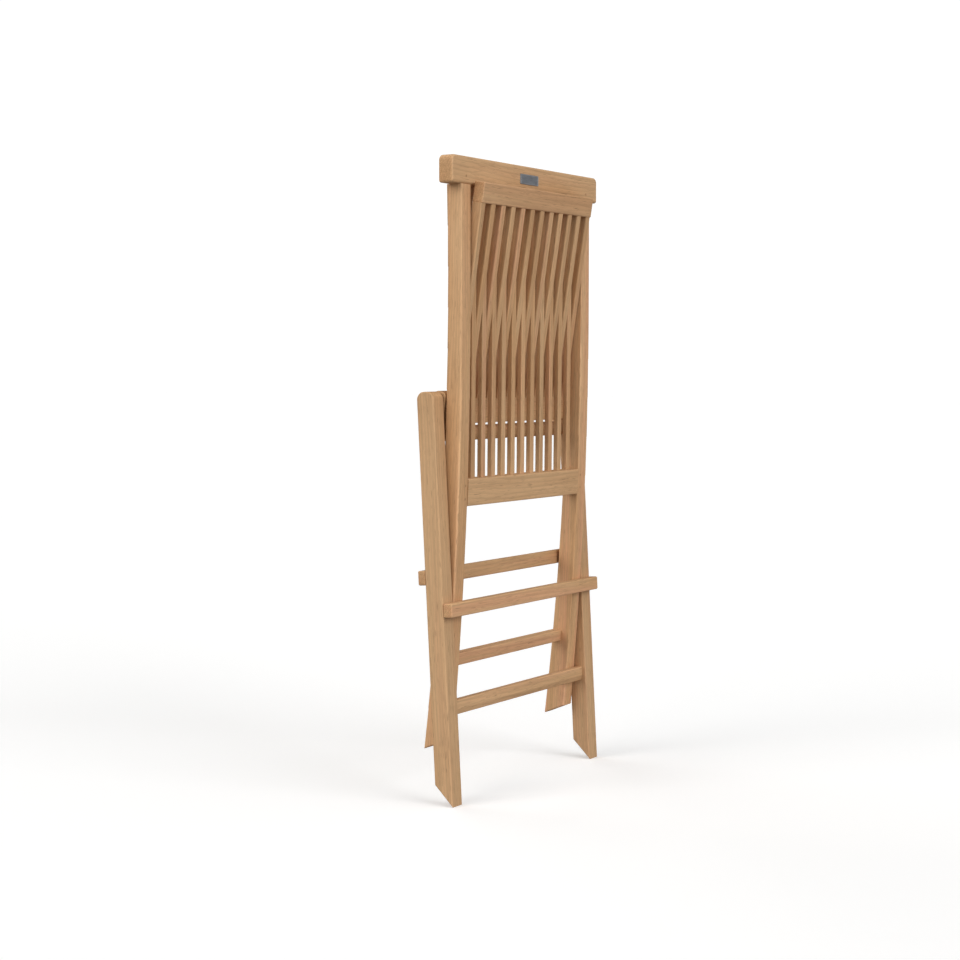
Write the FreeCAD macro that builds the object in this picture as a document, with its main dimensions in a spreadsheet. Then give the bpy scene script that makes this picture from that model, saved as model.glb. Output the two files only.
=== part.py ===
# Slatted teak folding chair, stored folded and upright. Millimetres, +Z up, the chair's front faces -Y.
# Origin: centre of the footprint, on the floor under the rear feet.
#
# Three wooden frames turn on steel pins:
#   back frame  stiles (they run down as the front legs), head rail, lower rail, stretcher, back slats
#   leg frame   rear legs with rounded tops, stretcher and two stop bars
#   seat        slats between a rear rail and a front rail, a nosing and two cheeks that hold the pins
# Side distances ("set back") are measured along Y from the rear edge of the rear feet.
import FreeCAD, Part
import os
import re
import Sketcher

doc = FreeCAD.newDocument("FoldingChair")

# ---------------------------------------------------------------- driving dimensions
SIZES = {
    # whole chair
    "folded_height": 1055,
    "overall_width": 480,
    "rear_foot_y": 28,
    "edge_round": 2.5,
    "slat_round": 1.6,
    # how far each frame turns from folded to open, in degrees
    "leg_swing": 43.5,
    "back_swing": 22.5,
    # rear legs, drawn along the leg from the rear tip of the foot
    "leg_width": 30,
    "leg_depth": 33,
    "leg_length": 677,
    "leg_tilt": 3.15,
    "leg_top_round": 13,
    "leg_pivot_up": 347.4,
    "seat_pivot_up": 656,
    "seat_pivot_in": 14.2,
    # leg frame cross pieces
    "rear_stretcher_up": 158,
    "rear_stretcher_high": 25,
    "rear_stretcher_thick": 14,
    "rear_stretcher_set": 13.8,
    "front_stretcher_thick": 17,
    "stretcher_bevel_high": 9,
    "stretcher_bevel_deep": 4,
    "rear_bar_thick": 17,
    "front_bar_thick": 14,
    "rear_bar_up": 321.2,
    "rear_bar_high": 23,
    "front_bar_up": 373.8,
    "front_bar_high": 24,
    "dowel_radius": 4,
    "dowel_bite": 11,
    # back stiles
    "side_gap": 2,
    "stile_width": 28,
    "stile_top": 1010,
    "stile_top_depth": 29.5,
    "stile_rear_set": 2.5,
    "stile_bend_start": 800,
    "stile_bend_radius": 6900,
    "stile_via_up": 400,
    "stile_via_set": 47.2,
    "front_foot_set": 78.5,
    "front_foot_up": 83.06,
    "front_foot_run": 41,
    # tenons and pegs
    "tenon_length": 16,
    "tenon_thick": 9,
    "tenon_shoulder": 4,
    "stile_tenon_high": 26,
    "stile_tenon_shoulder": 7.5,
    "peg_radius": 2.2,
    "peg_length": 18,
    # back panel
    "head_rail_length": 469,
    "head_rail_depth": 27.5,
    "head_rail_edge": 4,
    "head_rail_round": 9,
    "lower_rail_up": 510,
    "lower_rail_high": 45,
    "lower_rail_depth": 22,
    "lower_rail_tilt": 2.77,
    "back_slat_count": 11,
    "back_slat_wide": 12.5,
    "back_slat_deep": 9,
    "back_slat_top_set": 14.75,
    "back_slat_low_set": 19.6,
    "slat_bite": 5,
    "slat_pitch": 31,
    "front_stretcher_up": 228.7,
    "front_stretcher_high": 20.5,
    "front_stretcher_set": 52.1,
    "front_stretcher_tilt": 6.1,
    # seat, drawn from the seat pin towards the rear rail
    "seat_tilt": 8.85,
    "seat_under": 15.5,
    "seat_thick": 19.5,
    "seat_slat_wide": 13.5,
    "seat_slat_count": 12,
    "seat_rear_rail_start": 332,
    "seat_rear_rail_high": 34,
    "seat_rear_rail_thick": 20,
    "seat_rear_rail_proud": 1.5,
    "seat_rear_rail_length": 356,
    "seat_front_rail_low": -31,
    "seat_front_rail_high": 42,
    "front_rail_tenon_drop": 18,
    "nosing_low": -61,
    "nosing_high": 24,
    "nosing_thick": 20,
    "nosing_round": 7,
    "cheek_under": 13.4,
    "cheek_thick": 23,
    "cheek_wide": 27,
    "cheek_top": 22,
    "cheek_round": 8,
    "cheek_gap": 1.8,
    # steel
    "pin_radius": 4,
    "pin_fit": 0.05,
    "pin_end": 6,
    "washer_radius": 10,
    "washer_play": 0.15,
    # name plate on the head rail
    "plate_long": 58,
    "plate_high": 17,
    "plate_thick": 0.8,
    "plate_corner": 1.5,
    "plate_pin_radius": 1.1,
    "plate_pin_length": 6,
    "plate_pin_head": 0.6,
}

sizes = doc.addObject("Spreadsheet::Sheet", "Sizes")
for row, (alias, number) in enumerate(SIZES.items(), start=1):
    sizes.set(f"A{row}", alias)
    sizes.set(f"B{row}", str(number))
    sizes.setAlias(f"B{row}", alias)
doc.recompute()

# ---------------------------------------------------------------- derived places, as expressions
LEG_INNER = "(overall_width / 2 - leg_width)"
STILE_OUTER = f"({LEG_INNER} - side_gap)"
STILE_INNER = f"({STILE_OUTER} - stile_width)"
CHEEK_OUTER = f"({LEG_INNER} - cheek_gap)"
CHEEK_INNER = f"({CHEEK_OUTER} - cheek_wide)"
LEG_MIDDLE = "(-leg_depth / 2)"
HEAD_RAIL_HIGH = "(folded_height - stile_top)"
LOWER_RAIL_TOP = "(lower_rail_up + lower_rail_high / 2)"


def in_sheet(text):
    """Writes every alias in an expression as a cell of the sheet."""
    return re.sub(r"[a-z]+(?:_[a-z]+)+", lambda word: "Sizes." + word.group(0), text)


def value(text):
    return float(sizes.evalExpression(in_sheet(text)))


def bind(item, prop, text):
    item.setExpression(prop, in_sheet(text))


def leg_point(across, along):
    """Y and Z of a point given in a rear leg's own directions."""
    y = f"(rear_foot_y + ({across}) * cos(leg_tilt) - ({along}) * sin(leg_tilt))"
    z = f"(({across}) * sin(leg_tilt) + ({along}) * cos(leg_tilt))"
    return y, z


LEG_PIVOT = leg_point(LEG_MIDDLE, "leg_pivot_up")
SEAT_PIVOT = leg_point("-seat_pivot_in", "seat_pivot_up")


def seat_point(across, along):
    """Y and Z of a point given in the seat's own directions, from the seat pin."""
    y = f"({SEAT_PIVOT[0]} + ({across}) * cos(seat_tilt) + ({along}) * sin(seat_tilt))"
    z = f"({SEAT_PIVOT[1]} - ({across}) * sin(seat_tilt) + ({along}) * cos(seat_tilt))"
    return y, z


def stile_rear_set(up):
    """How far a stile's rear edge is set back from the rear feet, below the start of its bend."""
    drop = f"(stile_bend_start - ({up}))"
    return f"(stile_rear_set + stile_bend_radius - sqrt(stile_bend_radius ^ 2 - {drop} ^ 2))"


# ---------------------------------------------------------------- building helpers
def place(item, x="0", y="0", z="0", tilt=None, forwards=True):
    """Binds an object's Placement. A forwards tilt moves its top towards the front, -Y."""
    if tilt:
        axis = FreeCAD.Vector(1 if forwards else -1, 0, 0)
        item.Placement = FreeCAD.Placement(FreeCAD.Vector(), FreeCAD.Rotation(axis, 1))
        bind(item, "Placement.Rotation.Angle", tilt)
    bind(item, "Placement.Base.x", x)
    bind(item, "Placement.Base.y", y)
    bind(item, "Placement.Base.z", z)
    return item


def new_body(label):
    body = doc.addObject("PartDesign::Body", label)
    body.Label = label
    return body


def new_sketch(body, role):
    sketch = body.newObject("Sketcher::SketchObject", body.Name + "_outline")
    plane = next(item for item in body.Origin.OriginFeatures if item.Role == role)
    sketch.AttachmentSupport = [(plane, "")]
    sketch.MapMode = "FlatFace"
    return sketch


def pin_point(sketch, geometry, position, point):
    """Holds one sketch point at a place given by two expressions."""
    for kind, text in (("DistanceX", point[0]), ("DistanceY", point[1])):
        number = sketch.addConstraint(Sketcher.Constraint(kind, -1, 1, geometry, position, value(text)))
        bind(sketch, f"Constraints[{number}]", text)


def draw_outline(body, role, corners):
    """Closed outline of (u, v) corners. A third value is a point that the side after it arcs through."""
    sketch = new_sketch(body, role)
    flat = [FreeCAD.Vector(value(corner[0]), value(corner[1]), 0) for corner in corners]
    last = len(corners) - 1
    for index, corner in enumerate(corners):
        start = flat[index]
        end = flat[0 if index == last else index + 1]
        if len(corner) == 3:
            via = FreeCAD.Vector(value(corner[2][0]), value(corner[2][1]), 0)
            sketch.addGeometry(Part.Arc(start, via, end), False)
        else:
            sketch.addGeometry(Part.LineSegment(start, end), False)
    ends = [arc_ends(sketch, index, flat[index]) for index in range(len(corners))]
    for index in range(len(corners)):
        following = 0 if index == last else index + 1
        joint = Sketcher.Constraint("Coincident", index, ends[index][1], following, ends[following][0])
        sketch.addConstraint(joint)
        pin_point(sketch, index, ends[index][0], corners[index][:2])
    for index, corner in enumerate(corners):
        if len(corner) == 3:
            via = FreeCAD.Vector(value(corner[2][0]), value(corner[2][1]), 0)
            mark = sketch.addGeometry(Part.Point(via), True)
            pin_point(sketch, mark, 1, corner[2])
            sketch.addConstraint(Sketcher.Constraint("PointOnObject", mark, 1, index))
    return sketch


def arc_ends(sketch, index, start):
    """Which of a side's two ends comes first: an arc is stored anticlockwise, whichever way it is drawn."""
    near_start = sketch.getPoint(index, 1).distanceToPoint(start)
    near_end = sketch.getPoint(index, 2).distanceToPoint(start)
    return (1, 2) if near_start < near_end else (2, 1)


def pad(body, sketch, length, middle=True):
    feature = body.newObject("PartDesign::Pad", body.Name + "_pad")
    feature.Profile = sketch
    feature.Midplane = middle
    bind(feature, "Length", length)
    doc.recompute()
    return feature


def round_edges(body, feature, radius, wanted):
    """Rounds the edges of a feature that a test accepts."""
    edges = feature.Shape.Edges
    names = [f"Edge{number}" for number, edge in enumerate(edges, start=1) if wanted(edge)]
    fillet = body.newObject("PartDesign::Fillet", body.Name + "_round")
    fillet.Base = (feature, names)
    bind(fillet, "Radius", radius)
    doc.recompute()
    return fillet


def along(axis):
    """A test for straight edges that run along one axis."""
    def test(edge):
        return edge.Curve.TypeId == "Part::GeomLine" and abs(edge.Curve.Direction.dot(axis)) > 0.999
    return test


ALONG_X = along(FreeCAD.Vector(1, 0, 0))
ALONG_Z = along(FreeCAD.Vector(0, 0, 1))


def outer_edges(axis, reach):
    """A test for edges that lie wholly in the two faces at plus and minus reach along one axis."""
    def test(edge):
        places = [abs(vertex.Point.dot(axis)) for vertex in edge.Vertexes]
        return all(abs(place_now - reach) < 0.01 for place_now in places)
    return test


def rectangle(low_u, low_v, high_u, high_v):
    return [(low_u, low_v), (high_u, low_v), (high_u, high_v), (low_u, high_v)]


def centred(wide, high):
    return rectangle(f"-({wide}) / 2", f"-({high}) / 2", f"({wide}) / 2", f"({high}) / 2")


def cross_piece(label, length, outline, tenon=None, radius="edge_round"):
    """A piece that runs across the chair, centred on its own origin, with a tenon at each end if asked."""
    body = new_body(label)
    main = pad(body, draw_outline(body, "YZ_Plane", outline), length)
    if tenon:
        rounded = round_edges(body, main, radius, ALONG_X)
        tenon_sketch = draw_outline(body, "YZ_Plane", tenon)
        pad(body, tenon_sketch, f"{length} + 2 * tenon_length")
        return body
    half = value(length) / 2
    ends = outer_edges(FreeCAD.Vector(1, 0, 0), half)
    round_edges(body, main, radius, lambda edge: ALONG_X(edge) or ends(edge))
    return body


def upright_piece(label, wide, deep, length, radius):
    """A slat: its own origin is at the middle of its lower end."""
    body = new_body(label)
    main = pad(body, draw_outline(body, "XY_Plane", centred(wide, deep)), length, middle=False)
    round_edges(body, main, radius, ALONG_Z)
    return body


def rod(label, radius, length, x, y, z, axis=FreeCAD.Vector(1, 0, 0)):
    """A round bar from x, y, z along an axis."""
    cylinder = doc.addObject("Part::Cylinder", label)
    cylinder.Label = label
    bind(cylinder, "Radius", radius)
    bind(cylinder, "Height", length)
    cylinder.Placement = FreeCAD.Placement(
        FreeCAD.Vector(), FreeCAD.Rotation(FreeCAD.Vector(0, 0, 1), axis))
    bind(cylinder, "Placement.Base.x", x)
    bind(cylinder, "Placement.Base.y", y)
    bind(cylinder, "Placement.Base.z", z)
    return cylinder


def group(label, items):
    compound = doc.addObject("Part::Compound", label)
    compound.Label = label
    compound.Links = items
    return compound


def carve(label, blank, tools):
    """The finished piece: a blank with the room for its neighbours cut out."""
    cut = doc.addObject("Part::Cut", label)
    cut.Label = label
    cut.Base = blank
    cut.Tool = group(label + "_room", tools)
    return cut


def both_sides(make):
    return [make(side, name) for side, name in ((1, "left"), (-1, "right"))]


def from_to(side, inner, outer):
    """Where a piece that spans inner to outer on one side starts, and its length."""
    start = inner if side > 0 else f"-({outer})"
    return start, f"(({outer}) - ({inner}))"


pieces = {}


def keep(item):
    pieces[item.Label] = item
    return item


# ---------------------------------------------------------------- steel pins and washers
def cross_rods(label, radius, inner, outer, y, z):
    """Two round bars on one cross axis, one on each side."""
    rods = []
    for side, name in ((1, "left"), (-1, "right")):
        start, length = from_to(side, inner, outer)
        rods.append(rod(f"{label}_{name}", radius, length, start, y, z))
    return rods


def washer_pair(label, inner, outer, y, z):
    outers = cross_rods(label + "_disc", "washer_radius", inner, outer, y, z)
    holes = cross_rods(label + "_hole", "(pin_radius + pin_fit)", inner, outer, y, z)
    return carve(label, group(label + "_discs", outers), holes)


PIN_OUTER = "(overall_width / 2 - pin_end)"
leg_pins = cross_rods("leg_pin", "pin_radius", f"{STILE_INNER} + pin_end", PIN_OUTER, *LEG_PIVOT)
leg_pin_room = cross_rods(
    "leg_pin_room", "(pin_radius + pin_fit)", f"{STILE_INNER} + pin_end - washer_play",
    f"{PIN_OUTER} + washer_play", *LEG_PIVOT)
keep(group("leg_pivot_pins", leg_pins))
WASHER_END = f"{LEG_INNER} - washer_play"
keep(washer_pair("leg_pivot_washers", f"{STILE_OUTER} + washer_play", WASHER_END, *LEG_PIVOT))

seat_pins = cross_rods("seat_pin", "pin_radius", f"{CHEEK_INNER} + pin_end", PIN_OUTER, *SEAT_PIVOT)
seat_pin_room = cross_rods(
    "seat_pin_room", "(pin_radius + pin_fit)", f"{CHEEK_INNER} + pin_end - washer_play",
    CHEEK_OUTER, *SEAT_PIVOT)
keep(group("seat_pivot_pins", seat_pins))
keep(washer_pair("seat_pivot_washers", f"{CHEEK_OUTER} + washer_play", WASHER_END, *SEAT_PIVOT))


# ---------------------------------------------------------------- leg frame
def leg_blank(side, name):
    """A straight rear leg: foot cut level for the open chair, rounded top."""
    body = new_body(f"{name}_rear_leg_blank")
    foot_rise = "(leg_depth * tan(leg_tilt + leg_swing))"
    start_round = "(leg_length - leg_top_round)"
    corner = "(leg_top_round * (1 - cos(45)))"
    outline = [
        ("0", "0"),
        ("0", start_round, (f"-{corner}", f"leg_length - {corner}")),
        ("-leg_top_round", "leg_length"),
        ("leg_top_round - leg_depth", "leg_length", (f"{corner} - leg_depth", f"leg_length - {corner}")),
        ("-leg_depth", start_round),
        ("-leg_depth", foot_rise),
    ]
    main = pad(body, draw_outline(body, "YZ_Plane", outline), "leg_width")
    ends = outer_edges(FreeCAD.Vector(1, 0, 0), value("leg_width") / 2)
    round_edges(body, main, "edge_round", lambda edge: ends(edge) and not ALONG_X(edge))
    middle = "(overall_width / 2 - leg_width / 2)"
    return place(body, f"{side} * {middle}", "rear_foot_y", "0", "leg_tilt")


def leg_cross_piece(item, across, along_leg):
    return place(item, "0", *leg_point(across, along_leg), tilt="leg_tilt")


half_high = "rear_stretcher_high / 2"
half_thick = "rear_stretcher_thick / 2"
bevelled = [
    (f"-{half_thick}", f"-{half_high}"),
    (f"{half_thick} - stretcher_bevel_deep", f"-{half_high}"),
    (half_thick, f"stretcher_bevel_high - {half_high}"),
    (half_thick, half_high),
    (f"-{half_thick}", half_high),
]
LEG_SPAN = f"(2 * {LEG_INNER})"
rear_stretcher = cross_piece(
    "rear_leg_stretcher", LEG_SPAN, bevelled,
    tenon=centred("tenon_thick", "rear_stretcher_high - 2 * tenon_shoulder"))
leg_cross_piece(rear_stretcher, "-rear_stretcher_set", "rear_stretcher_up")
keep(rear_stretcher)

rear_bar_blank = leg_cross_piece(
    cross_piece("rear_stop_bar_blank", "overall_width", centred("rear_bar_thick", "rear_bar_high")),
    "rear_bar_thick / 2", "rear_bar_up")
front_bar_blank = leg_cross_piece(
    cross_piece("front_stop_bar_blank", "overall_width", centred("front_bar_thick", "front_bar_high")),
    "-leg_depth - front_bar_thick / 2", "front_bar_up")


def leg_direction():
    """The direction square to the leg, towards the rear."""
    turn = FreeCAD.Rotation(FreeCAD.Vector(1, 0, 0), SIZES["leg_tilt"])
    return turn.multVec(FreeCAD.Vector(0, 1, 0))


def bar_dowel(side, name):
    """The hidden dowels that hold both stop bars to one leg."""
    x = f"{side} * (overall_width / 2 - leg_width / 2)"
    rear = leg_point("-dowel_bite", "rear_bar_up")
    front = leg_point("-leg_depth - dowel_bite", "front_bar_up")
    length = "2 * dowel_bite"
    return [
        rod(f"{name}_rear_bar_dowel", "dowel_radius", length, x, *rear, axis=leg_direction()),
        rod(f"{name}_front_bar_dowel", "dowel_radius", length, x, *front, axis=leg_direction()),
    ]


bar_dowels = sum(both_sides(bar_dowel), [])
keep(group("stop_bar_dowels", bar_dowels))
keep(carve("rear_stop_bar", rear_bar_blank, bar_dowels[0::2]))
keep(carve("front_stop_bar", front_bar_blank, bar_dowels[1::2]))

leg_room = [rear_stretcher] + bar_dowels + leg_pin_room + seat_pins
for side, name in ((1, "left"), (-1, "right")):
    keep(carve(f"{name}_rear_leg", leg_blank(side, name), leg_room))


# ---------------------------------------------------------------- back frame
def stile_blank(side, name):
    """A back stile and front leg in one: straight above, bent forwards below, with a tenon on top."""
    body = new_body(f"{name}_back_stile_blank")
    shoulder = "stile_tenon_shoulder"
    rear = "-stile_rear_set"
    front = "(-stile_rear_set - stile_top_depth)"
    tenon_top = "(stile_top + stile_tenon_high)"
    foot_rear_set = "(front_foot_set - front_foot_run)"
    foot_rear_up = "(front_foot_up + front_foot_run * tan(back_swing))"
    outline = [
        ("-front_foot_set", "front_foot_up"),
        (f"-{foot_rear_set}", foot_rear_up, (f"-{stile_rear_set('stile_via_up')}", "stile_via_up")),
        (rear, "stile_bend_start"),
        (rear, "stile_top"),
        (f"{rear} - {shoulder}", "stile_top"),
        (f"{rear} - {shoulder}", tenon_top),
        (f"{front} + {shoulder}", tenon_top),
        (f"{front} + {shoulder}", "stile_top"),
        (front, "stile_top", ("-stile_via_set", "stile_via_up")),
    ]
    main = pad(body, draw_outline(body, "YZ_Plane", outline), "stile_width")
    ends = outer_edges(FreeCAD.Vector(1, 0, 0), value("stile_width") / 2)
    shoulder_height = value("stile_top") - 0.01

    def below_shoulder(edge):
        low = min(vertex.Z for vertex in edge.Vertexes) < shoulder_height
        return low and ends(edge) and not ALONG_X(edge)

    round_edges(body, main, "edge_round", below_shoulder)
    middle = f"({STILE_OUTER} - stile_width / 2)"
    return place(body, f"{side} * {middle}", "rear_foot_y", "0")


def head_rail_blank():
    """The top rail: a board with its two upper corners rounded, longer than the stiles are apart."""
    body = new_body("head_rail_blank")
    half = "head_rail_length / 2"
    radius = "head_rail_round"
    corner = f"({radius} * (1 - cos(45)))"
    outline = [
        (f"-{half}", "0"),
        (half, "0"),
        (half, f"{HEAD_RAIL_HIGH} - {radius}", (f"{half} - {corner}", f"{HEAD_RAIL_HIGH} - {corner}")),
        (f"{half} - {radius}", HEAD_RAIL_HIGH),
        (f"{radius} - {half}", HEAD_RAIL_HIGH, (f"{corner} - {half}", f"{HEAD_RAIL_HIGH} - {corner}")),
        (f"-{half}", f"{HEAD_RAIL_HIGH} - {radius}"),
    ]
    main = pad(body, draw_outline(body, "XZ_Plane", outline), "head_rail_depth")
    faces = outer_edges(FreeCAD.Vector(0, 1, 0), value("head_rail_depth") / 2)
    round_edges(body, main, "head_rail_edge", faces)
    return place(body, "0", "rear_foot_y - stile_rear_set - head_rail_depth / 2", "stile_top")


STILE_SPAN = f"(2 * {STILE_INNER})"


def tenon_outline(high):
    return centred("tenon_thick", f"{high} - 2 * tenon_shoulder")


lower_rail_set = f"({stile_rear_set('lower_rail_up')} + lower_rail_depth / 2)"
lower_rail_blank = cross_piece(
    "back_lower_rail_blank", STILE_SPAN, centred("lower_rail_depth", "lower_rail_high"),
    tenon=tenon_outline("lower_rail_high"))
place(lower_rail_blank, "0", f"rear_foot_y - {lower_rail_set}", "lower_rail_up", "lower_rail_tilt", False)

front_stretcher_blank = cross_piece(
    "front_leg_stretcher_blank", STILE_SPAN, centred("front_stretcher_thick", "front_stretcher_high"),
    tenon=tenon_outline("front_stretcher_high"))
place(front_stretcher_blank, "0", "rear_foot_y - front_stretcher_set", "front_stretcher_up",
      "front_stretcher_tilt", False)


def back_slats():
    """Thin upright slats, housed in the head rail and in the lower rail."""
    low = f"({LOWER_RAIL_TOP} - slat_bite)"
    high = "(stile_top + slat_bite)"
    lean = "(back_slat_low_set - back_slat_top_set)"
    length = f"sqrt(({high} - {low}) ^ 2 + {lean} ^ 2)"
    tilt = f"atan({lean} / ({high} - {low}))"
    slats = []
    for index in range(SIZES["back_slat_count"]):
        slat = upright_piece(
            f"back_slat_{index + 1:02d}", "back_slat_wide", "back_slat_deep", length, "slat_round")
        x = f"({index} - (back_slat_count - 1) / 2) * slat_pitch"
        place(slat, x, "rear_foot_y - back_slat_low_set", low, tilt, False)
        slats.append(keep(slat))
    return slats


def peg_set(label, places):
    """Small round pegs driven in from the rear through a stile or rail into a tenon."""
    pegs = []
    for number, (x, y, z) in enumerate(places, start=1):
        pegs.append(rod(f"{label}_{number}", "peg_radius", "peg_length", x, y, z, FreeCAD.Vector(0, -1, 0)))
    return pegs


STILE_MIDDLE = f"({STILE_OUTER} - stile_width / 2)"
PEG_LINE = f"({STILE_INNER} + tenon_length / 2)"
REAR_FACE = "(rear_foot_y - stile_rear_set)"
head_pegs = peg_set(
    "head_peg",
    [(f"{side} * {STILE_MIDDLE}", REAR_FACE, "stile_top + stile_tenon_high / 2") for side in (1, -1)])


def paired_pegs(label, middle_up, spread):
    places = []
    for side in (1, -1):
        for step in (-1, 1):
            up = f"({middle_up} + {step} * {spread})"
            places.append((f"{side} * {PEG_LINE}", f"rear_foot_y - {stile_rear_set(up)}", up))
    return peg_set(label, places)


lower_pegs = paired_pegs("lower_peg", "lower_rail_up", "lower_rail_high / 4")
stretcher_pegs = [
    rod(f"stretcher_peg_{number}", "peg_radius", "stile_top_depth", x, y, z, FreeCAD.Vector(0, -1, 0))
    for number, (x, y, z) in enumerate(
        [(f"{side} * {PEG_LINE}", f"rear_foot_y - {stile_rear_set('front_stretcher_up')}",
          "front_stretcher_up") for side in (1, -1)], start=1)]
keep(group("head_rail_pegs", head_pegs))
keep(group("lower_rail_pegs", lower_pegs))
keep(group("front_stretcher_pegs", stretcher_pegs))

stile_blanks = both_sides(stile_blank)
slats = back_slats()
keep(carve("back_lower_rail", lower_rail_blank, slats + lower_pegs))
keep(carve("front_leg_stretcher", front_stretcher_blank, stretcher_pegs))
stile_room = [lower_rail_blank, front_stretcher_blank] + lower_pegs + stretcher_pegs
stile_room += head_pegs + leg_pin_room
keep(carve("left_back_stile", stile_blanks[0], stile_room))
keep(carve("right_back_stile", stile_blanks[1], stile_room))


# ---------------------------------------------------------------- name plate
def name_plate():
    """A plain metal plate on the rear of the head rail, with a pin at each end."""
    body = new_body("name_plate_blank")
    main = pad(body, draw_outline(body, "XZ_Plane", centred("plate_long", "plate_high")), "plate_thick")
    round_edges(body, main, "plate_corner", along(FreeCAD.Vector(0, 1, 0)))
    return place(body, "0", f"{REAR_FACE} + plate_thick / 2", f"stile_top + {HEAD_RAIL_HIGH} / 2")


plate_pins = [
    rod(f"plate_pin_{name}", "plate_pin_radius", "plate_pin_length",
        f"{side} * (plate_long / 2 - plate_high / 5)",
        f"{REAR_FACE} + plate_thick + plate_pin_head", f"stile_top + {HEAD_RAIL_HIGH} / 2",
        FreeCAD.Vector(0, -1, 0))
    for side, name in ((1, "left"), (-1, "right"))]
keep(group("name_plate_pins", plate_pins))
keep(carve("name_plate", name_plate(), plate_pins))
keep(carve("head_rail", head_rail_blank(), stile_blanks + slats + head_pegs + plate_pins))


# ---------------------------------------------------------------- seat
def seat_part(item, across, along_seat, x="0"):
    return place(item, x, *seat_point(across, along_seat), tilt="seat_tilt", forwards=False)


SEAT_MIDDLE = "(seat_under - seat_thick / 2)"
CHEEK_SPAN = f"(2 * {CHEEK_INNER})"
rear_rail_blank = cross_piece(
    "seat_rear_rail_blank", "seat_rear_rail_length",
    centred("seat_rear_rail_thick", "seat_rear_rail_high"))
seat_part(rear_rail_blank, "seat_under + seat_rear_rail_proud - seat_rear_rail_thick / 2",
          "seat_rear_rail_start + seat_rear_rail_high / 2")

front_rail_blank = cross_piece(
    "seat_front_rail_blank", CHEEK_SPAN, centred("seat_thick", "seat_front_rail_high"),
    tenon=rectangle("-tenon_thick / 2", "tenon_shoulder - seat_front_rail_high / 2",
                    "tenon_thick / 2", "seat_front_rail_high / 2 - front_rail_tenon_drop"))
seat_part(front_rail_blank, SEAT_MIDDLE, "seat_front_rail_low + seat_front_rail_high / 2")

nosing = cross_piece(
    "seat_nosing", CHEEK_SPAN, centred("nosing_thick", "nosing_high"),
    tenon=tenon_outline("nosing_high"), radius="nosing_round")
seat_part(nosing, "cheek_under - nosing_thick / 2", "nosing_low + nosing_high / 2")
keep(nosing)


def seat_slats():
    """Deep slats from the front rail to the rear rail; folded, they stand between the back slats."""
    start = "(seat_front_rail_low + seat_front_rail_high - slat_bite)"
    length = f"(seat_rear_rail_start + slat_bite - {start})"
    made = []
    for index in range(SIZES["seat_slat_count"]):
        slat = upright_piece(
            f"seat_slat_{index + 1:02d}", "seat_slat_wide", "seat_thick", length, "edge_round")
        x = f"({index} - (seat_slat_count - 1) / 2) * slat_pitch"
        made.append(keep(seat_part(slat, SEAT_MIDDLE, start, x)))
    return made


def cheek_blank(side, name):
    """A block at one front corner of the seat that turns on the seat pin."""
    body = new_body(f"{name}_seat_cheek_blank")
    low = "nosing_low"
    outline = rectangle("cheek_under - cheek_thick", low, "cheek_under", "cheek_top")
    main = pad(body, draw_outline(body, "YZ_Plane", outline), "cheek_wide")
    rounded = round_edges(body, main, "cheek_round", ALONG_X)
    ends = outer_edges(FreeCAD.Vector(1, 0, 0), value("cheek_wide") / 2)
    round_edges(body, rounded, "edge_round", ends)
    middle = f"({CHEEK_OUTER} - cheek_wide / 2)"
    return seat_part(body, "0", "0", f"{side} * {middle}")


seat_strips = seat_slats()
keep(carve("seat_rear_rail", rear_rail_blank, seat_strips))
keep(carve("seat_front_rail", front_rail_blank, seat_strips))
cheek_room = [front_rail_blank, nosing] + seat_pin_room
for side, name in ((1, "left"), (-1, "right")):
    keep(carve(f"{name}_seat_cheek", cheek_blank(side, name), cheek_room))

# ---------------------------------------------------------------- check and write
doc.recompute()
for item in doc.Objects:
    if "Invalid" in item.State or "Error" in item.State:
        raise RuntimeError(f"{item.Label} failed: {item.State}")
os.makedirs("parts", exist_ok=True)
for label, item in pieces.items():
    shape = item.Shape
    if shape.isNull() or not shape.isValid() or not shape.Solids:
        raise RuntimeError(f"{label} has no valid solid")
    solids = shape.Solids
    final = solids[0] if len(solids) == 1 else Part.makeCompound(solids)
    final.exportStep(f"parts/{label}.step")

whole = Part.makeCompound([item.Shape for item in pieces.values()])
box = whole.BoundBox
print(f"{len(pieces)} pieces, X {box.XMin:.2f} {box.XMax:.2f}, Y {box.YMin:.2f} {box.YMax:.2f}, "
      f"Z {box.ZMin:.2f} {box.ZMax:.2f}")
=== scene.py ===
import math
import random

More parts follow.
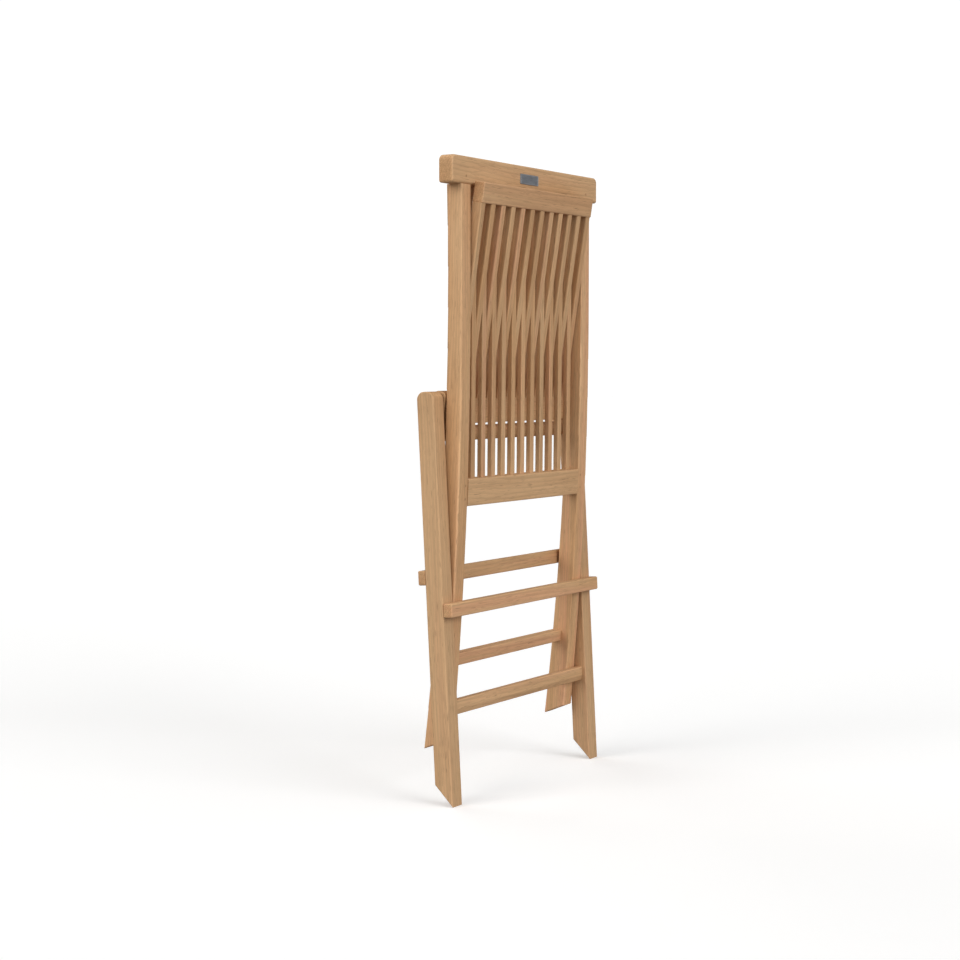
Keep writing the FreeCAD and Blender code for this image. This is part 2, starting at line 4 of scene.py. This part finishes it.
import bmesh
import bpy
import numpy as np
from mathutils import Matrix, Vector


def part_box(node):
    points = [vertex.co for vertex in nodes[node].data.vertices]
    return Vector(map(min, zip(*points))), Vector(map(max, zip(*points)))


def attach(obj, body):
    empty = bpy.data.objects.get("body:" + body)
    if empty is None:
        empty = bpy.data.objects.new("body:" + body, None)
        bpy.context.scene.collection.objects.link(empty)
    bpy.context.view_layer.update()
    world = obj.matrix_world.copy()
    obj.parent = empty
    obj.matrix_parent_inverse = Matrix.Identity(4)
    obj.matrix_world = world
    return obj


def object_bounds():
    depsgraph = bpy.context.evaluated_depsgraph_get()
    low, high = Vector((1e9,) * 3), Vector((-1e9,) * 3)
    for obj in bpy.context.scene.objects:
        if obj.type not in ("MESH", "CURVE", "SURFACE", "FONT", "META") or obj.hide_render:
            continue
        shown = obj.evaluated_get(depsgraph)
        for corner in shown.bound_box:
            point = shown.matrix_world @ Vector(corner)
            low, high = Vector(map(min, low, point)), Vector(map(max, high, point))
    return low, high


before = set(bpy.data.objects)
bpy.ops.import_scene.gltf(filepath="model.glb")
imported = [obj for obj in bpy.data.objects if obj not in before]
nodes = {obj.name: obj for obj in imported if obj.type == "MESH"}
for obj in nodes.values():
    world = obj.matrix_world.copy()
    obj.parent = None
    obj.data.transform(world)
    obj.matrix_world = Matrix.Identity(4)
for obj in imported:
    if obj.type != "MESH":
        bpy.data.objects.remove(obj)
cad_low, cad_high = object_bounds()
scene = bpy.context.scene

# ---------------------------------------------------------------- which node is made of what
STEEL_NODES = (
    "leg_pivot_pins",
    "leg_pivot_washers",
    "seat_pivot_pins",
    "seat_pivot_washers",
    "name_plate_pins",
)
PEG_NODES = ("head_rail_pegs", "lower_rail_pegs", "front_stretcher_pegs", "stop_bar_dowels")
# the stiles get a brighter tone, which is painted light for the stronger light high on the chair, and the
# rear legs a darker one, which is painted shade low down
TOP_LIT_PAINTED_NODES = ("left_back_stile", "right_back_stile")
LOW_SHADE_PAINTED_NODES = ("left_rear_leg", "right_rear_leg")
PLATE_NODE = "name_plate"

# linear colours of new, sanded and lightly oiled teak
HONEY_PALE = (0.64, 0.395, 0.205, 1)
HONEY_DEEP = (0.535, 0.305, 0.145, 1)
ROSE_TEAK = (0.625, 0.335, 0.180, 1)
STEEL_GREY = (0.62, 0.61, 0.59, 1)
PLATE_GREY = (0.27, 0.285, 0.31, 1)
PLATE_RIM_GREY = (0.42, 0.45, 0.48, 1)
STEEL_SMUDGE = (0.48, 0.47, 0.45, 1)
END_GRAIN_DARK = (0.78, 0.73, 0.68, 1)
END_GRAIN_PALE = (1.0, 0.97, 0.93, 1)
FLOOR_DARK = (0.30, 0.30, 0.30, 1)
FLOOR_PALE = (0.31, 0.31, 0.31, 1)
FLOOR_SEEN = (0.95, 0.95, 0.95, 1)

# range of brightness that a piece's own tone is drawn from
USUAL_TONES = (0.93, 1.07)
# the stiles' brighter range is painted light, and the rear legs' darker range below is painted shade
PAINTED_TOP_LIGHT_TONES = (1.07, 1.11)
PAINTED_LOW_SHADE_TONES = (0.92, 0.95)
PEG_TONES = (0.80, 0.86)

# fineness of the patterns in the teak, per metre: a higher number is finer
BROAD_SCALE = 16
BAND_SCALE = 60
STREAK_SCALE = 230
SPECKLE_SCALE = 700
FIBRE_SCALE = 900
PORE_SCALE = 1250
RING_SCALE = 74
RING_SHARPNESS = 2.6
PITH_DRIFT = 0.035
SEED_SHIFT = (1.7, 2.3, 3.1)

# how much light the floor adds for the camera, which makes the open floor white
FLOOR_LIFT = 0.19
FLOOR_REACH = 40
FLOOR_GAP = 0.0005
BACKDROP_STRENGTH = 1.05


# ---------------------------------------------------------------- small node helpers
def join(tree, value, socket):
    """Sets a socket from a node's output or from a plain value."""
    if isinstance(value, bpy.types.NodeSocket):
        tree.links.new(value, socket)
    else:
        socket.default_value = value


def maths(tree, operation, *values, clamp=False):
    """A Math node. Returns its output."""
    node = tree.nodes.new("ShaderNodeMath")
    node.operation = operation
    node.use_clamp = clamp
    for socket, value in zip(node.inputs, values):
        join(tree, value, socket)
    return node.outputs[0]


def vector_maths(tree, operation, *values):
    """A Vector Math node. Returns its vector output."""
    node = tree.nodes.new("ShaderNodeVectorMath")
    node.operation = operation
    for socket, value in zip(node.inputs, values):
        join(tree, value, socket)
    return node.outputs["Vector"]


def turned(tree, vector, rotation):
    """The vector in the piece's own frame, whose Z runs along the grain."""
    node = tree.nodes.new("ShaderNodeMapping")
    join(tree, vector, node.inputs["Vector"])
    join(tree, rotation, node.inputs["Rotation"])
    return node.outputs["Vector"]


def ramp(tree, value, low, high, to_low=0.0, to_high=1.0):
    """A smooth step from to_low at low to to_high at high."""
    node = tree.nodes.new("ShaderNodeMapRange")
    node.interpolation_type = "SMOOTHSTEP"
    for name, amount in (
        ("Value", value),
        ("From Min", low),
        ("From Max", high),
        ("To Min", to_low),
        ("To Max", to_high),
    ):
        join(tree, amount, node.inputs[name])
    return node.outputs[0]


def noise(tree, vector, scale, detail=2.0, roughness=0.5, distortion=0.0):
    """A Noise texture. Returns its factor."""
    node = tree.nodes.new("ShaderNodeTexNoise")
    join(tree, vector, node.inputs["Vector"])
    node.inputs["Scale"].default_value = scale
    node.inputs["Detail"].default_value = detail
    node.inputs["Roughness"].default_value = roughness
    node.inputs["Distortion"].default_value = distortion
    return node.outputs["Fac"]


def blend_colour(tree, mode, factor, first, second):
    """A colour Mix node. Returns its colour."""
    node = tree.nodes.new("ShaderNodeMix")
    node.data_type = "RGBA"
    node.blend_type = mode
    join(tree, factor, node.inputs[0])
    join(tree, first, node.inputs[6])
    join(tree, second, node.inputs[7])
    return node.outputs[2]


def grey(tree, value):
    """A grey colour of that brightness."""
    node = tree.nodes.new("ShaderNodeCombineColor")
    for socket in node.inputs:
        join(tree, value, socket)
    return node.outputs[0]


# ---------------------------------------------------------------- teak
def add_group_sockets(tree, side, sockets):
    """Gives a node group its inputs or outputs."""
    for name, kind in sockets:
        tree.interface.new_socket(name, in_out=side, socket_type=kind)


def along_grain(tree, point, share):
    """The point with its travel along the grain cut to a share, so that a pattern runs long that way."""
    return vector_maths(tree, "MULTIPLY", point, (1, 1, share))


def late_wood_rings(tree, point):
    """Growth rings round a pith that lies outside the piece and wanders along the grain."""
    wander = tree.nodes.new("ShaderNodeTexNoise")
    join(tree, along_grain(tree, point, 0.3), wander.inputs["Vector"])
    wander.inputs["Scale"].default_value = 5.5
    wander.inputs["Detail"].default_value = 1.5
    drift = vector_maths(tree, "SUBTRACT", wander.outputs["Color"], (0.5, 0.5, 0.5))
    drift = vector_maths(tree, "MULTIPLY", drift, (PITH_DRIFT, PITH_DRIFT, 0))
    ring_point = along_grain(tree, point, 0.02)
    rings = tree.nodes.new("ShaderNodeTexWave")
    rings.wave_type = "RINGS"
    rings.rings_direction = "Z"
    rings.wave_profile = "SAW"
    join(tree, vector_maths(tree, "ADD", ring_point, drift), rings.inputs["Vector"])
    rings.inputs["Scale"].default_value = RING_SCALE
    rings.inputs["Distortion"].default_value = 0.9
    rings.inputs["Detail"].default_value = 2
    rings.inputs["Detail Scale"].default_value = 0.6
    return maths(tree, "POWER", rings.outputs["Fac"], RING_SHARPNESS)


def open_pores(tree, point, late_wood):
    """Short dark dashes along the grain, more of them in the early wood."""
    dashes = noise(tree, along_grain(tree, point, 0.035), PORE_SCALE, detail=1)
    early_wood = maths(tree, "SUBTRACT", 1.0, late_wood)
    return maths(tree, "MULTIPLY", ramp(tree, dashes, 0.60, 0.70), early_wood)


def face_masks(tree, normal):
    """Masks for the faces across the grain and for the rounded edges between faces, which are lightened
    both as sanding wear and as a painted highlight.
    """
    parts = tree.nodes.new("ShaderNodeSeparateXYZ")
    join(tree, vector_maths(tree, "ABSOLUTE", normal), parts.inputs[0])
    end_face = ramp(tree, parts.outputs["Z"], 0.72, 0.90)
    flattest = maths(tree, "MAXIMUM", parts.outputs["X"], parts.outputs["Y"])
    flattest = maths(tree, "MAXIMUM", flattest, parts.outputs["Z"])
    # rounded edges, where the normal lies along no axis: lightened later as sanding wear and as a painted
    # highlight
    edge_wear_and_highlight = ramp(tree, flattest, 0.84, 0.98, 1.0, 0.0)
    return end_face, edge_wear_and_highlight


def make_teak_group():
    """One shared recipe for teak. Each piece gives it a grain direction, a seed, a tone and a warmth."""
    tree = bpy.data.node_groups.new("teak", "ShaderNodeTree")
    add_group_sockets(
        tree,
        "INPUT",
        (
            ("Turn", "NodeSocketVector"),
            ("Seed", "NodeSocketFloat"),
            ("Tone", "NodeSocketFloat"),
            ("Warmth", "NodeSocketFloat"),
        ),
    )
    add_group_sockets(
        tree,
        "OUTPUT",
        (
            ("Colour", "NodeSocketColor"),
            ("Roughness", "NodeSocketFloat"),
            ("Height", "NodeSocketFloat"),
        ),
    )
    given = tree.nodes.new("NodeGroupInput").outputs
    result = tree.nodes.new("NodeGroupOutput").inputs
    here = tree.nodes.new("ShaderNodeTexCoord")

    # the point and the normal, with Z along the grain, moved to a place of its own in the log
    point = turned(tree, here.outputs["Object"], given["Turn"])
    normal = turned(tree, here.outputs["Normal"], given["Turn"])
    shift = vector_maths(tree, "SCALE", SEED_SHIFT)
    join(tree, given["Seed"], shift.node.inputs["Scale"])
    point = vector_maths(tree, "ADD", point, shift)

    # patterns of the wood, from the widest to the finest
    streaked = along_grain(tree, point, 0.03)
    broad = noise(tree, along_grain(tree, point, 0.16), BROAD_SCALE, detail=2)
    band = noise(tree, streaked, BAND_SCALE, detail=3, roughness=0.55, distortion=0.3)
    streak = noise(tree, streaked, STREAK_SCALE, detail=4, roughness=0.6, distortion=0.2)
    fibre = noise(tree, along_grain(tree, point, 0.02), FIBRE_SCALE, detail=3, roughness=0.65)
    speckle = noise(tree, point, SPECKLE_SCALE, detail=2)
    late_wood = late_wood_rings(tree, point)
    pores = open_pores(tree, point, late_wood)
    end_face, edge_wear_and_highlight = face_masks(tree, normal)

    # colour: honey tones with rosy bands, times a shade from all the patterns
    colour = blend_colour(tree, "MIX", ramp(tree, broad, 0.33, 0.68), HONEY_PALE, HONEY_DEEP)
    rosy = maths(tree, "MULTIPLY", ramp(tree, band, 0.42, 0.66), given["Warmth"])
    colour = blend_colour(tree, "MIX", rosy, colour, ROSE_TEAK)
    shade = maths(tree, "MULTIPLY", ramp(tree, streak, 0.35, 0.70, 1.04, 0.91), given["Tone"])
    for pattern, low, high, at_low, at_high in (
        (late_wood, 0.0, 1.0, 1.02, 0.89),
        (fibre, 0.3, 0.7, 0.95, 1.04),
        (pores, 0.0, 1.0, 1.0, 0.62),
        # rounded edges lighter: partly sanding wear, partly a painted highlight
        (edge_wear_and_highlight, 0.0, 1.0, 1.0, 1.07),
    ):
        shade = maths(tree, "MULTIPLY", shade, ramp(tree, pattern, low, high, at_low, at_high))
    colour = blend_colour(tree, "MULTIPLY", 1.0, colour, grey(tree, shade))
    end_tint = blend_colour(
        tree, "MIX", ramp(tree, speckle, 0.35, 0.65), END_GRAIN_DARK, END_GRAIN_PALE
    )
    end_colour = blend_colour(tree, "MULTIPLY", 1.0, colour, end_tint)
    colour = blend_colour(tree, "MIX", end_face, colour, end_colour)
    join(tree, colour, result["Colour"])

    # roughness: streaks vary it, pores and end faces are rougher
    rough = ramp(tree, streak, 0.3, 0.7, 0.50, 0.64)
    rough = maths(tree, "ADD", rough, ramp(tree, pores, 0.0, 1.0, 0.0, 0.14))
    rough = maths(tree, "ADD", rough, maths(tree, "MULTIPLY", end_face, 0.16), clamp=True)
    join(tree, rough, result["Roughness"])

    # relief: fibres and late wood stand up, pores are sunk
    height = maths(tree, "ADD", maths(tree, "MULTIPLY", fibre, 0.5), maths(tree, "MULTIPLY", streak, 0.3))
    height = maths(tree, "SUBTRACT", height, maths(tree, "MULTIPLY", pores, 0.7))
    height = maths(tree, "ADD", height, maths(tree, "MULTIPLY", late_wood, 0.25))
    join(tree, height, result["Height"])
    return tree


def new_material(name):
    """An empty node material. Returns it with its tree and its Principled shader."""
    material = bpy.data.materials.new(name)
    material.use_nodes = True
    tree = material.node_tree
    tree.nodes.clear()
    shader = tree.nodes.new("ShaderNodeBsdfPrincipled")
    output = tree.nodes.new("ShaderNodeOutputMaterial")
    tree.links.new(shader.outputs[0], output.inputs["Surface"])
    return material, tree, shader


def add_bump(tree, shader, height, strength, depth):
    """Fine relief on a shader. depth is in metres."""
    bump = tree.nodes.new("ShaderNodeBump")
    bump.inputs["Strength"].default_value = strength
    bump.inputs["Distance"].default_value = depth
    join(tree, height, bump.inputs["Height"])
    join(tree, bump.outputs["Normal"], shader.inputs["Normal"])


def grain_direction(node):
    """The direction in which a slender piece is longest, which is how its board was cut."""
    count = len(node.data.vertices)
    flat = np.empty(count * 3)
    node.data.vertices.foreach_get("co", flat)
    places = flat.reshape(count, 3)
    _, _, directions = np.linalg.svd(places - places.mean(axis=0), full_matrices=False)
    longest = Vector(directions[0])
    return longest if longest.z + longest.x > 0 else -longest


def teak_material(name, direction, tone_range=USUAL_TONES):
    """Teak for one piece: its own place in the log, tone and warmth, with the grain along direction."""
    pick = random.Random(name)
    material, tree, shader = new_material("teak_" + name)
    wood = tree.nodes.new("ShaderNodeGroup")
    wood.node_tree = teak
    wood.inputs["Turn"].default_value = direction.rotation_difference(Vector((0, 0, 1))).to_euler()
    wood.inputs["Seed"].default_value = pick.uniform(0, 9)
    wood.inputs["Tone"].default_value = pick.uniform(*tone_range)
    wood.inputs["Warmth"].default_value = pick.uniform(0.0, 1.0)
    join(tree, wood.outputs["Colour"], shader.inputs["Base Color"])
    join(tree, wood.outputs["Roughness"], shader.inputs["Roughness"])
    shader.inputs["IOR"].default_value = 1.45
    shader.inputs["Specular IOR Level"].default_value = 0.38
    add_bump(tree, shader, wood.outputs["Height"], 0.45, 0.0004)
    return material


def steel_material():
    """Turned stainless steel: fine marks round the pin and a slightly uneven polish."""
    material, tree, shader = new_material("turned_steel")
    here = tree.nodes.new("ShaderNodeTexCoord").outputs["Object"]
    marks = noise(tree, vector_maths(tree, "MULTIPLY", here, (1, 0.06, 0.06)), 2600, detail=2)
    smudge = noise(tree, here, 90, detail=3)
    colour = blend_colour(tree, "MIX", ramp(tree, smudge, 0.3, 0.7), STEEL_GREY, STEEL_SMUDGE)
    join(tree, colour, shader.inputs["Base Color"])
    shader.inputs["Metallic"].default_value = 1.0
    join(tree, ramp(tree, marks, 0.3, 0.7, 0.24, 0.42), shader.inputs["Roughness"])
    add_bump(tree, shader, marks, 0.25, 0.0001)
    return material


def plate_material(name, base):
    """Satin anodised metal, brushed along the plate's length."""
    material, tree, shader = new_material(name)
    here = tree.nodes.new("ShaderNodeTexCoord").outputs["Object"]
    brushed = noise(tree, vector_maths(tree, "MULTIPLY", here, (0.03, 1, 1)), 2200, detail=3)
    cloud = noise(tree, here, 60, detail=2)
    tint = ramp(tree, brushed, 0.3, 0.7, 0.84, 1.14)
    tint = maths(tree, "MULTIPLY", tint, ramp(tree, cloud, 0.3, 0.7, 0.93, 1.06))
    join(tree, blend_colour(tree, "MULTIPLY", 1.0, base, grey(tree, tint)), shader.inputs["Base Color"])
    shader.inputs["Metallic"].default_value = 0.75
    join(tree, ramp(tree, brushed, 0.3, 0.7, 0.34, 0.50), shader.inputs["Roughness"])
    add_bump(tree, shader, brushed, 0.2, 0.0001)
    return material


teak = make_teak_group()
steel = steel_material()
plate_finish = plate_material("plate_satin", PLATE_GREY)
rim_finish = plate_material("plate_rim", PLATE_RIM_GREY)


def dress(node, material):
    """Gives a node one material in every slot it has."""
    if not node.data.materials:
        node.data.materials.append(material)
    for number in range(len(node.data.materials)):
        node.data.materials[number] = material


for name, node in nodes.items():
    if name in STEEL_NODES:
        dress(node, steel)
    elif name == PLATE_NODE:
        dress(node, plate_finish)
    elif name in PEG_NODES:
        across = Vector((1, 0, 0)) if name == "stop_bar_dowels" else Vector((0, 1, 0))
        dress(node, teak_material(name, across, PEG_TONES))
    # stiles: brighter tone as painted light; rear legs: darker tone as painted shade
    elif name in TOP_LIT_PAINTED_NODES:
        dress(node, teak_material(name, grain_direction(node), PAINTED_TOP_LIGHT_TONES))
    elif name in LOW_SHADE_PAINTED_NODES:
        dress(node, teak_material(name, grain_direction(node), PAINTED_LOW_SHADE_TONES))
    else:
        dress(node, teak_material(name, grain_direction(node)))


# ---------------------------------------------------------------- the plain plate's raised rim
RIM_WIDE = 0.0012
RIM_PROUD = 0.0003
RIM_SLOPE = 0.0003
RIM_SETBACK = 0.0008
plate_low, plate_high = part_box(PLATE_NODE)


def make_plate_rim():
    """A thin raised border round the plain plate, on its outer face."""
    mesh = bpy.data.meshes.new("name_plate_rim")
    build = bmesh.new()
    face_y = plate_high[1]
    middle = ((plate_low[0] + plate_high[0]) / 2, (plate_low[2] + plate_high[2]) / 2)
    half = (
        (plate_high[0] - plate_low[0]) / 2 - RIM_SETBACK,
        (plate_high[2] - plate_low[2]) / 2 - RIM_SETBACK,
    )
    # the rim's cross-section from its outer foot to its inner foot
    section = ((0, 0), (RIM_SLOPE, RIM_PROUD), (RIM_WIDE - RIM_SLOPE, RIM_PROUD), (RIM_WIDE, 0))
    loops = []
    for inset, lift in section:
        loop = []
        for side_x, side_z in ((-1, -1), (1, -1), (1, 1), (-1, 1)):
            spot = (
                middle[0] + side_x * (half[0] - inset),
                face_y + lift,
                middle[1] + side_z * (half[1] - inset),
            )
            loop.append(build.verts.new(spot))
        loops.append(loop)
    for near, far in zip(loops, loops[1:] + loops[:1]):
        for corner in range(4):
            after = (corner + 1) % 4
            build.faces.new((near[corner], near[after], far[after], far[corner]))
    bmesh.ops.recalc_face_normals(build, faces=build.faces)
    build.to_mesh(mesh)
    build.free()
    rim = bpy.data.objects.new("name_plate_rim", mesh)
    scene.collection.objects.link(rim)
    mesh.materials.append(rim_finish)
    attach(rim, "back_frame")


make_plate_rim()


# ---------------------------------------------------------------- floor, light and camera
def make_floor():
    """A wide, pale studio floor under the feet."""
    mesh = bpy.data.meshes.new("studio_floor")
    signs = ((-1, -1), (1, -1), (1, 1), (-1, 1))
    corners = [(sign_x * FLOOR_REACH, sign_y * FLOOR_REACH, 0) for sign_x, sign_y in signs]
    mesh.from_pydata(corners, [], [(0, 1, 2, 3)])
    floor = bpy.data.objects.new("studio_floor", mesh)
    floor.location.z = cad_low[2] - FLOOR_GAP
    scene.collection.objects.link(floor)
    material, tree, shader = new_material("studio_floor")
    grain = noise(tree, tree.nodes.new("ShaderNodeTexCoord").outputs["Object"], 30, detail=2)
    paper = blend_colour(tree, "MIX", ramp(tree, grain, 0.3, 0.7), FLOOR_DARK, FLOOR_PALE)
    join(tree, paper, shader.inputs["Base Color"])
    shader.inputs["Roughness"].default_value = 0.9
    shader.inputs["Specular IOR Level"].default_value = 0.1
    # what the camera sees is a little brighter than what lights the wood
    seen = tree.nodes.new("ShaderNodeBsdfPrincipled")
    seen.inputs["Base Color"].default_value = FLOOR_SEEN
    seen.inputs["Roughness"].default_value = 0.95
    seen.inputs["Specular IOR Level"].default_value = 0.0
    seen.inputs["Emission Color"].default_value = (1, 1, 1, 1)
    seen.inputs["Emission Strength"].default_value = FLOOR_LIFT
    mix = tree.nodes.new("ShaderNodeMixShader")
    join(tree, tree.nodes.new("ShaderNodeLightPath").outputs["Is Camera Ray"], mix.inputs[0])
    tree.links.new(shader.outputs[0], mix.inputs[1])
    tree.links.new(seen.outputs[0], mix.inputs[2])
    output = next(node for node in tree.nodes if node.type == "OUTPUT_MATERIAL")
    tree.links.new(mix.outputs[0], output.inputs["Surface"])
    mesh.materials.append(material)


def add_soft_sun(name, towards, strength, spread, colour):
    """Even light from a very wide source. towards is where it stands, and spread its width in degrees."""
    data = bpy.data.lights.new(name, "SUN")
    data.energy = strength
    data.angle = math.radians(spread)
    data.color = colour
    lamp = bpy.data.objects.new(name, data)
    lamp.rotation_mode = "QUATERNION"
    lamp.rotation_quaternion = Vector(towards).to_track_quat("Z", "Y")
    scene.collection.objects.link(lamp)


def make_world(rear_strength, front_strength):
    """Soft light, stronger on the rear and left of the chair than on its front, and a white backdrop."""
    world = bpy.data.worlds.new("studio")
    world.use_nodes = True
    tree = world.node_tree
    tree.nodes.clear()
    side = tree.nodes.new("ShaderNodeSeparateXYZ")
    join(tree, tree.nodes.new("ShaderNodeTexCoord").outputs["Generated"], side.inputs[0])
    rearwards = maths(tree, "ADD", maths(tree, "MULTIPLY", side.outputs["X"], 0.75), side.outputs["Y"])
    rearwards = maths(tree, "ADD", rearwards, maths(tree, "MULTIPLY", side.outputs["Z"], 0.35))
    soft = tree.nodes.new("ShaderNodeBackground")
    strength = ramp(tree, rearwards, -1.0, 1.0, front_strength, rear_strength)
    join(tree, strength, soft.inputs["Strength"])
    white = tree.nodes.new("ShaderNodeBackground")
    white.inputs["Color"].default_value = (1, 1, 1, 1)
    white.inputs["Strength"].default_value = BACKDROP_STRENGTH
    seen = tree.nodes.new("ShaderNodeMixShader")
    join(tree, tree.nodes.new("ShaderNodeLightPath").outputs["Is Camera Ray"], seen.inputs[0])
    tree.links.new(soft.outputs[0], seen.inputs[1])
    tree.links.new(white.outputs[0], seen.inputs[2])
    output = tree.nodes.new("ShaderNodeOutputWorld")
    tree.links.new(seen.outputs[0], output.inputs["Surface"])
    scene.world = world


def make_camera(place, heading, pitch, lens):
    """A camera that looks along -X, turned by heading towards -Y and tipped down by pitch, in degrees."""
    data = bpy.data.cameras.new("camera")
    data.sensor_width = 36
    data.lens = lens
    camera = bpy.data.objects.new("camera", data)
    scene.collection.objects.link(camera)
    turn, drop = math.radians(heading), math.radians(pitch)
    level = math.cos(drop)
    sight = Vector((-math.cos(turn) * level, -math.sin(turn) * level, -math.sin(drop)))
    camera.location = place
    camera.rotation_mode = "QUATERNION"
    camera.rotation_quaternion = sight.to_track_quat("-Z", "Y")
    scene.camera = camera


make_floor()
make_world(rear_strength=0.80, front_strength=0.05)
for name, towards, strength, spread, colour in (
    ("key_light", (3.4, -0.9, 1.6), 1.5, 45, (1.0, 0.985, 0.96)),
    ("fill_light", (0.35, 3.4, 1.5), 1.25, 40, (0.98, 0.99, 1.0)),
    ("front_light", (-0.9, -3.2, 1.3), 0.9, 50, (1.0, 0.99, 0.97)),
):
    add_soft_sun(name, towards, strength, spread, colour)
make_camera(place=(2.7195, 1.6893, 0.7119), heading=32.96, pitch=3.417, lens=69.75)
scene.view_settings.view_transform = "Standard"
